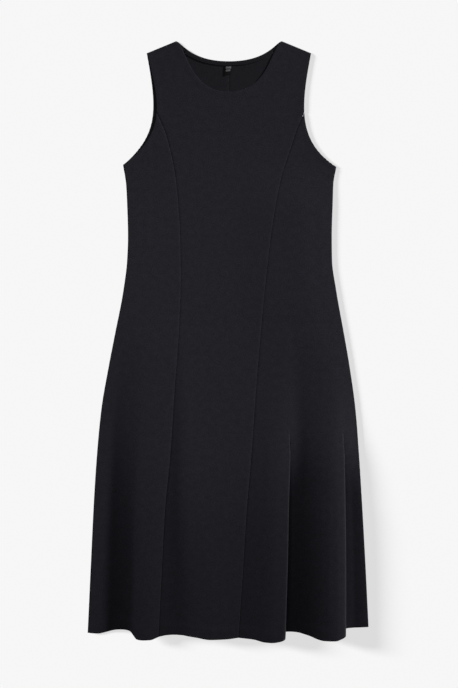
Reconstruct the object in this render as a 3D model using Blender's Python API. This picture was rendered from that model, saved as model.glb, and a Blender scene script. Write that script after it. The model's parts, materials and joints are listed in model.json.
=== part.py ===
"""A sleeveless A-line midi dress in dense black knit, laid flat on a surface with its front up.

The cloth is seven pieces, each one closed solid: three front panels joined by two princess seams,
two back panels joined by a centre back seam, the binding inside the back neck, and the loop label
below it. The front lies on the back along the shoulders, the armholes and the side seams, and the
flared skirt rises into long folds that open at the hem.

X runs across the dress with the wearer's left at +X, Y runs from hem to neck, and Z rises from the
surface. The origin is the middle of the dress on that surface. All sizes are in metres. A drop is a
distance down the dress from the point where the neck meets the shoulder.
"""

import bmesh
import bpy
import numpy as np

# Cloth
LENGTH = 1.145
CLOTH = 0.0012
GAP = 0.0003
FRONT_LAYER = CLOTH + GAP
# Front panels lean together in the hollows along their seams, so their lower edges stand wider apart
SEAM_GAP = 0.0005

# Bodice
NECK_HALF = 0.1008
FRONT_NECK_DEPTH = 0.0968
BACK_NECK_DEPTH = 0.0382
SHOULDER_HALF = 0.1570
SHOULDER_DROP = 0.0232
SEAM_TOP = 0.136

# Neck curves from the centre to the shoulder, as four handles of (x, drop)
FRONT_NECK = ((0.0, FRONT_NECK_DEPTH), (0.0755, FRONT_NECK_DEPTH), (0.0801, 0.0119), (NECK_HALF, 0.0))
BACK_NECK = ((0.0, BACK_NECK_DEPTH), (0.0743, BACK_NECK_DEPTH), (0.0896, 0.0018), (NECK_HALF, 0.0))

# Armhole curves from shoulder to underarm, as four handles of (x, drop). One side lies a little
# higher than the other, as cloth does.
UNDERARM_RIGHT = (-0.2023, 0.2360)
UNDERARM_LEFT = (0.2053, 0.2400)
ARMHOLE_RIGHT = ((-SHOULDER_HALF, SHOULDER_DROP), (-0.1381, 0.1269), (-0.1316, 0.1755), UNDERARM_RIGHT)
ARMHOLE_LEFT = ((SHOULDER_HALF, SHOULDER_DROP), (0.1383, 0.1226), (0.1286, 0.1898), UNDERARM_LEFT)

# The front has slid a little to the wearer's left on the back, so the back's edge shows in the right
# armhole: its front edge, and the back's left edge, are scooped deeper than the curves above.
SCOOP_FRONT_RIGHT = 0.009
SCOOP_BACK_LEFT = 0.005

# Side seams: drop, x of the wearer's right seam, x of the left seam
SIDE_SEAMS = (
    (0.274, -0.1963, 0.1994),
    (0.303, -0.1946, 0.1984),
    (0.375, -0.1926, 0.1964),
    (0.417, -0.1942, 0.1969),
    (0.475, -0.2013, 0.2048),
    (0.560, -0.2177, 0.2200),
    (0.618, -0.2290, 0.2300),
    (0.704, -0.2437, 0.2418),
    (0.790, -0.2519, 0.2485),
    (0.876, -0.2575, 0.2538),
    (0.990, -0.2630, 0.2601),
    (1.130, -0.2695, 0.2670),
)

# Princess seams below the armholes: drop, x of the wearer's right seam, x of the left seam
PRINCESS_SEAMS = (
    (0.172, -0.1222, 0.1290),
    (0.210, -0.1115, 0.1165),
    (0.250, -0.1035, 0.1032),
    (0.300, -0.0978, 0.0919),
    (0.375, -0.0931, 0.0802),
    (0.450, -0.0919, 0.0715),
    (0.550, -0.0953, 0.0617),
    (0.670, -0.1038, 0.0518),
    (0.780, -0.1108, 0.0438),
    (0.900, -0.1218, 0.0338),
    (1.010, -0.1276, 0.0270),
    (1.140, -0.1340, 0.0180),
)

# How far the front stands off the back at the waist: distance from the wearer's left side seam, rise.
# Both side seams stand up a little with it, so the back's edges rise too.
SIDE_RISE = (
    (0.000, 0.0012),
    (0.010, 0.0022),
    (0.024, 0.0034),
    (0.060, 0.0050),
    (0.110, 0.0038),
    (0.200, 0.0006),
    (0.290, 0.0000),
    (0.400, 0.0014),
)
BACK_EDGE_RISE = 0.0011

# Skirt folds start at FOLD_TOP and deepen down the skirt to the hem: drop, depth of the folds. They are
# rounder and wider higher up: drop, share of the panel's width over which their shape is evened out.
# Between the two drops of FOLDS_SHARPEN they take on their shape at the hem.
FOLD_TOP = 0.54
FOLDS_SHARPEN = (0.735, 0.885)
LIP_SPREAD = 0.004
FOLD_GROWTH = (
    (0.540, 0.00),
    (0.640, 0.15),
    (0.740, 0.42),
    (0.840, 0.77),
    (0.920, 0.93),
    (1.020, 0.98),
    (1.145, 1.00),
)
FOLD_SPREAD = (
    (0.540, 0.080),
    (0.660, 0.065),
    (0.760, 0.040),
    (0.840, 0.014),
    (0.900, 0.004),
    (1.145, 0.001),
)

# Folds at the hem of each front panel, from its -X edge to its +X edge: share of the panel's width, lift
# of the cloth, drop of the hem. The right side panel runs from side seam to princess seam.
FOLDS_SIDE_RIGHT = (
    (0.00, 0.0022, 1.1290),
    (0.08, 0.0012, 1.1305),
    (0.16, 0.0004, 1.1308),
    (0.22, 0.0000, 1.1292),
    (0.26, 0.0002, 1.1278),
    (0.30, 0.0012, 1.1262),
    (0.36, 0.0038, 1.1238),
    (0.42, 0.0066, 1.1222),
    (0.50, 0.0101, 1.1216),
    (0.58, 0.0133, 1.1228),
    (0.62, 0.0146, 1.1265),
    (0.64, 0.0150, 1.1305),
    (0.70, 0.0153, 1.1400),
    (0.78, 0.0154, 1.1416),
    (0.88, 0.0149, 1.1412),
    (1.00, 0.0135, 1.1350),
)
FOLDS_CENTRE = (
    (0.00, 0.0135, 1.1350),
    (0.10, 0.0148, 1.1316),
    (0.20, 0.0165, 1.1304),
    (0.30, 0.0184, 1.1311),
    (0.38, 0.0194, 1.1333),
    (0.47, 0.0197, 1.1355),
    (0.65, 0.0194, 1.1400),
    (0.85, 0.0184, 1.1390),
    (1.00, 0.0178, 1.1360),
)
FOLDS_SIDE_LEFT = (
    (0.00, 0.0178, 1.1360),
    (0.12, 0.0212, 1.1390),
    (0.20, 0.0232, 1.1440),
    (0.26, 0.0240, 1.1450),
    (0.317, 0.0237, 1.1430),
    (0.340, 0.0232, 1.1402),
    (0.344, 0.0228, 1.1394),
    (0.350, 0.0160, 1.1350),
    (0.359, 0.0030, 1.1290),
    (0.365, 0.0010, 1.1280),
    (0.385, 0.0024, 1.1270),
    (0.42, 0.0060, 1.1266),
    (0.46, 0.0102, 1.1272),
    (0.50, 0.0143, 1.1295),
    (0.55, 0.0187, 1.1330),
    (0.60, 0.0222, 1.1380),
    (0.65, 0.0247, 1.1410),
    (0.70, 0.0260, 1.1415),
    (0.74, 0.0258, 1.1415),
    (0.782, 0.0238, 1.1380),
    (0.800, 0.0216, 1.1350),
    (0.806, 0.0198, 1.1340),
    (0.824, 0.0050, 1.1250),
    (0.838, 0.0012, 1.1215),
    (0.88, 0.0006, 1.1197),
    (0.93, 0.0021, 1.1190),
    (0.97, 0.0031, 1.1184),
    (1.00, 0.0034, 1.1180),
)
# The same folds higher up the skirt, before they sharpen: share, lift
FOLDS_SIDE_LEFT_HIGH = (
    (0.00, 0.0178),
    (0.10, 0.0214),
    (0.18, 0.0236),
    (0.26, 0.0240),
    (0.33, 0.0220),
    (0.38, 0.0188),
    (0.42, 0.0164),
    (0.46, 0.0178),
    (0.50, 0.0222),
    (0.57, 0.0280),
    (0.64, 0.0318),
    (0.70, 0.0328),
    (0.76, 0.0306),
    (0.82, 0.0234),
    (0.88, 0.0155),
    (0.95, 0.0068),
    (1.00, 0.0032),
)
# The side panels' folds lean across them as they rise, and the centre's close up towards its -X seam
FOLD_LEAN_RIGHT = 0.22
FOLD_LEAN_LEFT = -0.12
FOLD_FAN_CENTRE = 16.0

# The back lies flat but for low waves under the front's folds, and stops short of the front's hem
BACK_HEM_DROP = 1.112
FOLDS_BACK_RIGHT = (
    (0.00, 0.0000, BACK_HEM_DROP),
    (0.27, 0.0000, BACK_HEM_DROP),
    (0.35, 0.0030, BACK_HEM_DROP),
    (0.42, 0.0046, BACK_HEM_DROP),
    (0.50, 0.0040, BACK_HEM_DROP),
    (0.60, 0.0014, BACK_HEM_DROP),
    (0.70, 0.0000, BACK_HEM_DROP),
    (0.93, 0.0000, BACK_HEM_DROP),
    (1.00, 0.0018, BACK_HEM_DROP),
)
FOLDS_BACK_LEFT = (
    (0.00, 0.0000, BACK_HEM_DROP),
    (0.15, 0.0000, BACK_HEM_DROP),
    (0.23, 0.0044, BACK_HEM_DROP),
    (0.29, 0.0070, BACK_HEM_DROP),
    (0.33, 0.0044, BACK_HEM_DROP),
    (0.37, 0.0000, BACK_HEM_DROP),
    (0.54, 0.0000, BACK_HEM_DROP),
    (0.62, 0.0040, BACK_HEM_DROP),
    (0.68, 0.0060, BACK_HEM_DROP),
    (0.74, 0.0036, BACK_HEM_DROP),
    (0.79, 0.0000, BACK_HEM_DROP),
    (0.90, 0.0000, BACK_HEM_DROP),
    (1.00, 0.0024, BACK_HEM_DROP),
)

# Rows of each panel, as drops; below the last one, rows spread evenly to the hem
ARMHOLE_ROWS = (0.148, 0.162, 0.178, 0.195, 0.212, 0.226, UNDERARM_RIGHT[1], UNDERARM_LEFT[1])
WAIST_ROWS = (0.266, 0.300, 0.340, 0.400, 0.450, 0.500, FOLD_TOP)
BODICE_ROWS = ARMHOLE_ROWS + WAIST_ROWS
SKIRT_ROWS = (0.60, 0.66, 0.72, 0.76, 0.80, 0.84, 0.88, 0.93, 0.99, 1.05)
HEM_ROWS = 2
SHOULDER_ROWS = 4
SIDE_TIP_DROP = SEAM_TOP + GAP * 3.0

# Binding and label inside the back neck
BINDING_WIDTH = 0.0086
BINDING_THICKNESS = 0.0010
BINDING_REACH = 0.575
BINDING_STEPS = 14
LABEL_WIDTH = 0.0138
LABEL_LENGTH = 0.0168
LABEL_THICKNESS = 0.0010
LABEL_X = -0.0008
LABEL_TILT = 0.05


def smooth(table, at, column=1):
    """Reads a column of a table at a value of its first column, on a cubic that never overshoots."""
    knots = np.array([row[0] for row in table])
    values = np.array([row[column] for row in table])
    steps = np.diff(knots)
    slopes = np.diff(values) / steps
    tangents = np.zeros(len(knots))
    tangents[0] = slopes[0]
    tangents[-1] = slopes[-1]
    for i in range(1, len(knots) - 1):
        if slopes[i - 1] * slopes[i] > 0.0:
            before = 2.0 * steps[i] + steps[i - 1]
            after = steps[i] + 2.0 * steps[i - 1]
            tangents[i] = (before + after) / (before / slopes[i - 1] + after / slopes[i])
    i = int(np.clip(np.searchsorted(knots, at) - 1, 0, len(steps) - 1))
    t = np.clip((at - knots[i]) / steps[i], 0.0, 1.0)
    ends = (2.0 * t - 3.0) * t * t
    return float(
        (1.0 + ends) * values[i]
        - ends * values[i + 1]
        + steps[i] * t * (1.0 - t) * ((1.0 - t) * tangents[i] - t * tangents[i + 1])
    )


def smoothstep(low, high, at):
    t = np.clip((at - low) / (high - low), 0.0, 1.0)
    return t * t * (3.0 - 2.0 * t)


def bezier(handles, t):
    """The point at t, from 0 to 1, of the cubic curve with four handles."""
    a, b, c, d = (np.array(handle) for handle in handles)
    s = 1.0 - t
    return s**3 * a + 3.0 * s * s * t * b + 3.0 * s * t * t * c + t**3 * d


def armhole(handles, drop, scoop):
    """X of an armhole's edge at a drop, scooped deeper towards the middle of the dress."""
    start, upper, lower, end = handles
    inward = -scoop if end[0] > 0.0 else scoop
    curve = (start, (upper[0] + inward, upper[1]), (lower[0] + inward, lower[1]), end)
    points = np.array([bezier(curve, t) for t in np.linspace(0.0, 1.0, 81)])
    return float(np.interp(drop, points[:, 1], points[:, 0]))


def right_outline(drop, scoop=0.0):
    """X of the dress's edge on the wearer's right at a drop: the armhole, then the side seam."""
    if drop < UNDERARM_RIGHT[1]:
        return armhole(ARMHOLE_RIGHT, drop, scoop)
    return smooth(((UNDERARM_RIGHT[1], UNDERARM_RIGHT[0]), *SIDE_SEAMS), drop)


def left_outline(drop, scoop=0.0):
    """X of the dress's edge on the wearer's left at a drop: the armhole, then the side seam."""
    if drop < UNDERARM_LEFT[1]:
        return armhole(ARMHOLE_LEFT, drop, scoop)
    return smooth(((UNDERARM_LEFT[1], 0.0, UNDERARM_LEFT[0]), *SIDE_SEAMS), drop, column=2)


def back_left_outline(drop):
    return left_outline(drop, SCOOP_BACK_LEFT)


def right_princess(drop):
    """X of the wearer's right princess seam, which starts at the front's right armhole."""
    top = (SEAM_TOP, right_outline(SEAM_TOP, SCOOP_FRONT_RIGHT))
    return smooth((top, *PRINCESS_SEAMS), drop)


def left_princess(drop):
    """X of the wearer's left princess seam, which starts at the front's left armhole."""
    top = (SEAM_TOP, 0.0, left_outline(SEAM_TOP))
    return smooth((top, *PRINCESS_SEAMS), drop, column=2)


def side_window(drop):
    """How much of SIDE_RISE there is at a drop: none above the waist's top, all at the waist."""
    return smoothstep(0.23, 0.33, drop) * (1.0 - smoothstep(0.50, 0.74, drop))


def fold_lift(folds, share, drop):
    """Lift of the cloth by a panel's folds, evened out across the panel higher up the skirt."""
    low, high = folds
    spread = smooth(FOLD_SPREAD, drop)
    sharp = smoothstep(*FOLDS_SHARPEN, drop)
    lift = 0.0
    for step in np.linspace(-1.0, 1.0, 13):
        near = np.clip(share + step * np.minimum(spread, LIP_SPREAD), 0.0, 1.0)
        wide = np.clip(share + step * spread, 0.0, 1.0)
        here = sharp * smooth(low, near) + (1.0 - sharp) * smooth(high, wide)
        lift += (1.0 + np.cos(np.pi * step)) / 12.0 * here
    return smooth(FOLD_GROWTH, drop) * lift


def front_height(x, drop, folds, share):
    """Height of the front cloth's lower face above the surface."""
    rise = side_window(drop) * smooth(SIDE_RISE, left_outline(drop) - x)
    return FRONT_LAYER + rise + fold_lift(folds, share, drop)


def back_height(x, drop, folds, share):
    """Height of the back cloth's lower face above the surface."""
    inside = min(left_outline(drop) - x, x - right_outline(drop))
    edge = BACK_EDGE_RISE * side_window(drop) * (1.0 - smoothstep(0.0, 0.022, inside))
    return edge + smooth(FOLD_GROWTH, drop) * smooth(folds[0], share)


class Panel:
    """A panel between two edges: an x at each drop for its -X and +X edge, its folds and its height."""

    def __init__(self, right_edge, left_edge, folds, height, high=None, lean=0.0, fan=0.0, mirrored=False):
        self.right_edge = right_edge
        self.left_edge = left_edge
        self.folds = folds, high or folds
        self.height = height
        self.lean = lean
        self.fan = fan
        self.mirrored = mirrored

    def fold_share(self, share):
        """The share at which the fold table is read: a mirrored panel counts from its +X edge."""
        return 1.0 - share if self.mirrored else share

    def hem(self, share):
        return smooth(self.folds[0], self.fold_share(share), column=2)

    def share_of(self, x, drop):
        """How far across the panel a point lies, from 0 at its -X edge to 1 at its +X edge."""
        right, left = self.right_edge(drop), self.left_edge(drop)
        return (x - right) / (left - right)

    def point(self, share, drop):
        """The place on the panel's lower face at a share of its width and a drop."""
        rise = min(LENGTH - drop, LENGTH - FOLD_TOP)
        if self.lean > 0.0:
            across = share - self.lean * rise * 4.0 * share * (1.0 - share)
        else:
            across = share - self.lean * rise * 19.3 * share**2 * (1.0 - share) * (share - 0.45)
        right, left = self.right_edge(drop), self.left_edge(drop)
        x = right + across * (left - right)
        along_folds = 1.0 - (1.0 - share) ** (1.0 + self.fan * max(rise, 0.0) ** 2)
        z = self.height(x, drop, self.folds, self.fold_share(along_folds))
        return share, (x, LENGTH / 2.0 - drop, z)

    def rows(self, tops, bodice, skirt_shares):
        """Rows of (share, point) from the top edge, given as (share, drop) pairs, to the hem.

        The skirt's rows are cut finer, at skirt_shares.
        """
        first = bodice[0]
        grid = []
        for step in range(SHOULDER_ROWS if len(tops) > 1 else 1):
            part = step / SHOULDER_ROWS
            grid.append([self.point(share, top + part * (first - top)) for share, top in tops])
        shares = [share for share, _ in tops] if len(tops) > 1 else [0.0, 0.25, 0.5, 0.75, 1.0]
        for drop in bodice:
            grid.append([self.point(share, drop) for share in shares])
        fine = sorted(set(shares) | set(skirt_shares))
        for drop in SKIRT_ROWS:
            grid.append([self.point(share, drop) for share in fine])
        last = SKIRT_ROWS[-1]
        for step in range(1, HEM_ROWS + 1):
            part = step / HEM_ROWS
            grid.append([self.point(share, last + part * (self.hem(share) - last)) for share in fine])
        return grid


def knit_material(name, colour, roughness):
    material = bpy.data.materials.new(name)
    material.use_nodes = True
    shader = material.node_tree.nodes["Principled BSDF"]
    shader.inputs["Base Color"].default_value = (*colour, 1.0)
    shader.inputs["Roughness"].default_value = roughness
    shader.inputs["Metallic"].default_value = 0.0
    return material


def cloth_from_rows(name, grid, thickness, material):
    """Makes one cloth solid: its lower face from rows of (share, point), its thickness added above.

    A row may hold more points than the row above it, as long as it repeats that row's shares.
    """
    sheet = bmesh.new()
    rows = [[(share, sheet.verts.new(place)) for share, place in row] for row in grid]
    for upper, lower in zip(rows, rows[1:]):
        if len(upper) == 1:
            tip = upper[0][1]
            for (_, a), (_, b) in zip(lower, lower[1:]):
                sheet.faces.new((tip, a, b))
            continue
        for (start, left_top), (end, right_top) in zip(upper, upper[1:]):
            below = [vert for share, vert in lower if start <= share <= end]
            sheet.faces.new((left_top, *below, right_top))
    mesh = bpy.data.meshes.new(name)
    sheet.to_mesh(mesh)
    sheet.free()
    mesh.shade_smooth()
    mesh.materials.append(material)
    piece = bpy.data.objects.new(name, mesh)
    bpy.context.scene.collection.objects.link(piece)
    wall = piece.modifiers.new("Cloth thickness", "SOLIDIFY")
    wall.thickness = thickness
    wall.offset = 1.0
    return piece


def top_edge(neck, neck_steps, shoulder_steps):
    """Points (x, drop) along a neck curve and shoulder, from the centre to the shoulder's end."""
    points = [tuple(bezier(neck, t)) for t in neck_steps]
    for t in shoulder_steps:
        points.append((NECK_HALF + t * (SHOULDER_HALF - NECK_HALF), t * SHOULDER_DROP))
    return points


def front_centre(material):
    def right_edge(drop):
        if drop < SEAM_TOP:
            return right_outline(drop, SCOOP_FRONT_RIGHT)
        return right_princess(drop) + SEAM_GAP / 2.0

    def left_edge(drop):
        if drop < SEAM_TOP:
            return left_outline(drop)
        return left_princess(drop) - SEAM_GAP / 2.0

    panel = Panel(right_edge, left_edge, FOLDS_CENTRE, front_height, fan=FOLD_FAN_CENTRE)
    neck_steps = (0.0, 0.1, 0.22, 0.34, 0.46, 0.58, 0.7, 0.84, 1.0)
    half = top_edge(FRONT_NECK, neck_steps, (0.35, 0.7, 1.0))
    across = [(-x, drop) for x, drop in reversed(half[1:])] + half
    tops = [(panel.share_of(x, drop), drop) for x, drop in across]
    tops[0] = (0.0, SHOULDER_DROP)
    tops[-1] = (1.0, SHOULDER_DROP)
    bodice = (SEAM_TOP, *BODICE_ROWS)
    return cloth_from_rows("front_centre", panel.rows(tops, bodice, []), CLOTH, material)


def front_side_right(material):
    def right_edge(drop):
        return right_outline(drop, SCOOP_FRONT_RIGHT)

    def left_edge(drop):
        return right_princess(drop) - SEAM_GAP / 2.0

    panel = Panel(right_edge, left_edge, FOLDS_SIDE_RIGHT, front_height, lean=FOLD_LEAN_RIGHT)
    shares = (0.08, 0.16, 0.22, 0.3, 0.36, 0.42, 0.58, 0.62, 0.65, 0.69, 0.84, 0.92)
    grid = panel.rows([(0.0, SIDE_TIP_DROP)], BODICE_ROWS, shares)
    return cloth_from_rows("front_side_right", grid, CLOTH, material)


def front_side_left(material):
    def right_edge(drop):
        return left_princess(drop) + SEAM_GAP / 2.0

    panel = Panel(
        right_edge, left_outline, FOLDS_SIDE_LEFT, front_height, high=FOLDS_SIDE_LEFT_HIGH, lean=FOLD_LEAN_LEFT
    )
    shares = (0.06, 0.12, 0.18, 0.22, 0.26, 0.3, 0.325, 0.342, 0.347, 0.359, 0.366, 0.38, 0.4, 0.43, 0.46, 0.54)
    shares += (0.58, 0.62, 0.66, 0.7, 0.782, 0.8, 0.807, 0.824, 0.838, 0.86, 0.9, 0.95)
    grid = panel.rows([(1.0, SIDE_TIP_DROP)], BODICE_ROWS, shares)
    return cloth_from_rows("front_side_left", grid, CLOTH, material)


def back_panel(name, side, outline, folds, material):
    """One half of the back, on the side given by -1 or 1, from the centre back seam to its outline."""

    def centre(_drop):
        return side * GAP / 2.0

    half = top_edge(BACK_NECK, (0.0, 0.14, 0.28, 0.42, 0.56, 0.7, 0.85, 1.0), (0.5, 1.0))
    shares = [row[0] for row in folds[1:-1]]
    if side > 0:
        panel = Panel(centre, outline, folds, back_height)
    else:
        panel = Panel(outline, centre, folds, back_height, mirrored=True)
        half = [(-x, drop) for x, drop in reversed(half)]
        shares = [1.0 - share for share in shares]
    tops = [(float(np.clip(panel.share_of(x, drop), 0.0, 1.0)), drop) for x, drop in half]
    return cloth_from_rows(name, panel.rows(tops, (SEAM_TOP, *BODICE_ROWS), shares), CLOTH, material)


def back_neck_binding(material):
    """The narrow binding on the inside of the back neck, along its curve."""
    edge, inner = [], []
    for t in np.linspace(-BINDING_REACH, BINDING_REACH, 2 * BINDING_STEPS + 1):
        side = -1.0 if t < 0.0 else 1.0
        x, drop = bezier(BACK_NECK, abs(t))
        ahead, behind = bezier(BACK_NECK, abs(t) + 0.01), bezier(BACK_NECK, abs(t) - 0.01)
        run = ahead - behind
        inward = np.array((-run[1], run[0])) / np.hypot(*run)
        start = np.array((x, drop)) + GAP * inward
        end = np.array((x, drop)) + BINDING_WIDTH * inward
        share = (t + BINDING_REACH) / (2.0 * BINDING_REACH)
        edge.append((share, (side * start[0], LENGTH / 2.0 - start[1], FRONT_LAYER)))
        inner.append((share, (side * end[0], LENGTH / 2.0 - end[1], FRONT_LAYER)))
    return cloth_from_rows("back_neck_binding", [edge, inner], BINDING_THICKNESS, material)


def label(material):
    """The folded loop label that hangs from the binding at the centre back."""
    top = BACK_NECK_DEPTH + BINDING_WIDTH + GAP
    grid = []
    for down in (0.0, LABEL_LENGTH):
        row = []
        for share in (0.0, 1.0):
            x = LABEL_X + (share - 0.5) * LABEL_WIDTH - LABEL_TILT * down
            y = LENGTH / 2.0 - top - down
            row.append((share, (x, y, FRONT_LAYER)))
        grid.append(row)
    return cloth_from_rows("label", grid, LABEL_THICKNESS, material)


def main():
    for old in list(bpy.data.objects):
        bpy.data.objects.remove(old, do_unlink=True)
    front_knit = knit_material("Black ponte knit, face", (0.014, 0.013, 0.017), 0.85)
    back_knit = knit_material("Black ponte knit, inside", (0.011, 0.010, 0.013), 0.9)
    binding_knit = knit_material("Black binding", (0.013, 0.012, 0.015), 0.85)
    ribbon = knit_material("Black label ribbon", (0.006, 0.006, 0.007), 0.6)
    front_centre(front_knit)
    front_side_right(front_knit)
    front_side_left(front_knit)
    back_panel("back_right", -1, right_outline, FOLDS_BACK_RIGHT, back_knit)
    back_panel("back_left", 1, back_left_outline, FOLDS_BACK_LEFT, back_knit)
    back_neck_binding(binding_knit)
    label(ribbon)


main()
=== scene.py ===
"""A sleeveless A-line midi dress in dense black knit, laid flat with its front up on a pale floor.

Each panel is cut flat first, as its own outline in cloth coordinates, and then laid on the form of the
dress: across the panel it follows the folds, and down the panel it follows the drop from the neck point.
A panel is one closed shell with rounded edges and a shallow ditch along its princess or centre back seam.
The front has a turned edge at its neck, armholes and hem, and the back at its hem. The dress lies on the
floor at Z 0, with the wearer's left at +X and its neck at +Y. All sizes are in metres, and a drop is a
distance down the dress from the neck point.
"""

import json
import math

import bmesh
import bpy
import numpy as np
from bpy.props import FloatProperty, FloatVectorProperty, PointerProperty
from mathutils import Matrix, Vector
from mathutils.geometry import delaunay_2d_cdt

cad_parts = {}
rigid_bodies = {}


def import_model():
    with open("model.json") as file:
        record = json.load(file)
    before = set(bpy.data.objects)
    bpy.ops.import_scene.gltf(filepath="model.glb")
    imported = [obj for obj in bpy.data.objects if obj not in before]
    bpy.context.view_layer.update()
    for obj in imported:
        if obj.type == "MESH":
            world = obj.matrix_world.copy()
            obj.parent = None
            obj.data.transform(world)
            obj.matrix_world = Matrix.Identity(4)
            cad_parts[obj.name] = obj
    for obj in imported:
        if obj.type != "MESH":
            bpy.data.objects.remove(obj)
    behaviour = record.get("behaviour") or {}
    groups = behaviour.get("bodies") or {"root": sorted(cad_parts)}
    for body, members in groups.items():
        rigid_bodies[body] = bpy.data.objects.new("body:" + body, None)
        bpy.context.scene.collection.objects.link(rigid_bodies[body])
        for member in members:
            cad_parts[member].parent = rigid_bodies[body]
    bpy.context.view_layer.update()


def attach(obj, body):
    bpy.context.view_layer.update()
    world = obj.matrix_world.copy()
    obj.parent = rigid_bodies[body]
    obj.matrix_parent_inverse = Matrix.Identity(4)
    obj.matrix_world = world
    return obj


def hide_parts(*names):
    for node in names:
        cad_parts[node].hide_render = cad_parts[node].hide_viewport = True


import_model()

bl_info = {
    "name": "A-line knit dress",
    "version": (1, 0, 0),
    "blender": (4, 5, 0),
    "location": "View3D > Sidebar > Dress",
    "description": "Makes a sleeveless A-line midi dress in black knit, laid flat",
    "category": "Add Mesh",
}

# Cut of the dress
LENGTH = 1.145
CLOTH = 0.0012
GAP = 0.0003
FRONT_LAYER = CLOTH + GAP
NECK_HALF = 0.1008
FRONT_NECK_DEPTH = 0.0968
BACK_NECK_DEPTH = 0.0382
SHOULDER_HALF = 0.1570
SHOULDER_DROP = 0.0232
BACK_HEM_DROP = 1.112

# Princess seams: the drop at which they start, how far below it the side panels' tips are cut off, how far
# the side panels tuck in towards the centre panel, and the drops between which that tuck comes in
SEAM_TOP = 0.136
TIP_CUT = 0.0012
SEAM_LAP = 0.0003
SEAM_LAP_DROPS = (0.20, 0.30)

# Neck curves from the centre to the shoulder, as four handles of (x, drop)
FRONT_NECK = ((0.0, FRONT_NECK_DEPTH), (0.0755, FRONT_NECK_DEPTH), (0.0801, 0.0119), (NECK_HALF, 0.0))
BACK_NECK = ((0.0, BACK_NECK_DEPTH), (0.0743, BACK_NECK_DEPTH), (0.0896, 0.0018), (NECK_HALF, 0.0))

# Armhole curves from shoulder to underarm, as four handles of (x, drop)
UNDERARM_RIGHT = (-0.2023, 0.2360)
UNDERARM_LEFT = (0.2053, 0.2400)
ARMHOLE_RIGHT = ((-SHOULDER_HALF, SHOULDER_DROP), (-0.1381, 0.1269), (-0.1316, 0.1755), UNDERARM_RIGHT)
ARMHOLE_LEFT = ((SHOULDER_HALF, SHOULDER_DROP), (0.1383, 0.1226), (0.1286, 0.1898), UNDERARM_LEFT)
SCOOP_FRONT_RIGHT = 0.009
SCOOP_BACK_LEFT = 0.005

# Side seams: drop, x of the wearer's right seam, x of the left seam
SIDE_SEAMS = (
    (0.274, -0.1963, 0.1994),
    (0.303, -0.1946, 0.1984),
    (0.375, -0.1926, 0.1964),
    (0.417, -0.1942, 0.1969),
    (0.475, -0.2013, 0.2048),
    (0.560, -0.2177, 0.2200),
    (0.618, -0.2290, 0.2300),
    (0.704, -0.2437, 0.2418),
    (0.790, -0.2519, 0.2485),
    (0.876, -0.2575, 0.2538),
    (0.990, -0.2630, 0.2601),
    (1.130, -0.2695, 0.2670),
)

# Princess seams below the armholes: drop, x of the wearer's right seam, x of the left seam
PRINCESS_SEAMS = (
    (0.172, -0.1222, 0.1290),
    (0.210, -0.1115, 0.1165),
    (0.250, -0.1035, 0.1032),
    (0.300, -0.0978, 0.0919),
    (0.375, -0.0931, 0.0802),
    (0.450, -0.0919, 0.0715),
    (0.550, -0.0953, 0.0617),
    (0.670, -0.1038, 0.0518),
    (0.780, -0.1108, 0.0438),
    (0.900, -0.1218, 0.0338),
    (1.010, -0.1276, 0.0270),
    (1.140, -0.1340, 0.0180),
)

# How far the front stands off the back at the waist: distance from the wearer's left side seam, rise
SIDE_RISE = (
    (0.000, 0.0012),
    (0.010, 0.0022),
    (0.024, 0.0034),
    (0.060, 0.0050),
    (0.110, 0.0038),
    (0.200, 0.0006),
    (0.290, 0.0000),
    (0.400, 0.0014),
)
# Drops between which that rise comes in below the armholes, and goes again below the waist. The back's side
# edges rise with it, over BACK_EDGE_WIDTH.
SIDE_RISE_STARTS = (0.23, 0.33)
SIDE_RISE_ENDS = (0.50, 0.74)
BACK_EDGE_RISE = 0.0011
BACK_EDGE_WIDTH = 0.022

# The skirt's folds start at FOLD_TOP, shallow and wide, and deepen and sharpen down the skirt. As they rise,
# those on the wearer's right lean to -X, the centre's close up towards its -X seam, and those on the
# wearer's left spread to both sides of FOLD_STILL_LEFT, a share of the panel's width. FOLD_SHAPE_LEFT scales
# that spread.
FOLD_TOP = 0.54
FOLD_LEAN_RIGHT = 0.22
FOLD_FAN_CENTRE = 16.0
FOLD_LEAN_LEFT = -0.12
FOLD_STILL_LEFT = 0.45
FOLD_SHAPE_LEFT = 19.3

# Drops between which the folds turn from rounded to sharp, the widest smoothing that a sharp fold still gets,
# as a share of the panel's width, and how many places the smoothing takes in
FOLDS_SHARPEN = (0.735, 0.885)
LIP_SPREAD = 0.004
SPREAD_SAMPLES = 13

# Depth of the folds at each drop, as a share of their depth at the hem
FOLD_GROWTH = (
    (0.540, 0.00),
    (0.640, 0.15),
    (0.740, 0.42),
    (0.840, 0.77),
    (0.920, 0.93),
    (1.020, 0.98),
    (1.145, 1.00),
)
# Smoothing of the folds at each drop, as a share of the panel's width
FOLD_SPREAD = (
    (0.540, 0.080),
    (0.660, 0.065),
    (0.760, 0.040),
    (0.840, 0.014),
    (0.900, 0.004),
    (1.145, 0.001),
)

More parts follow.
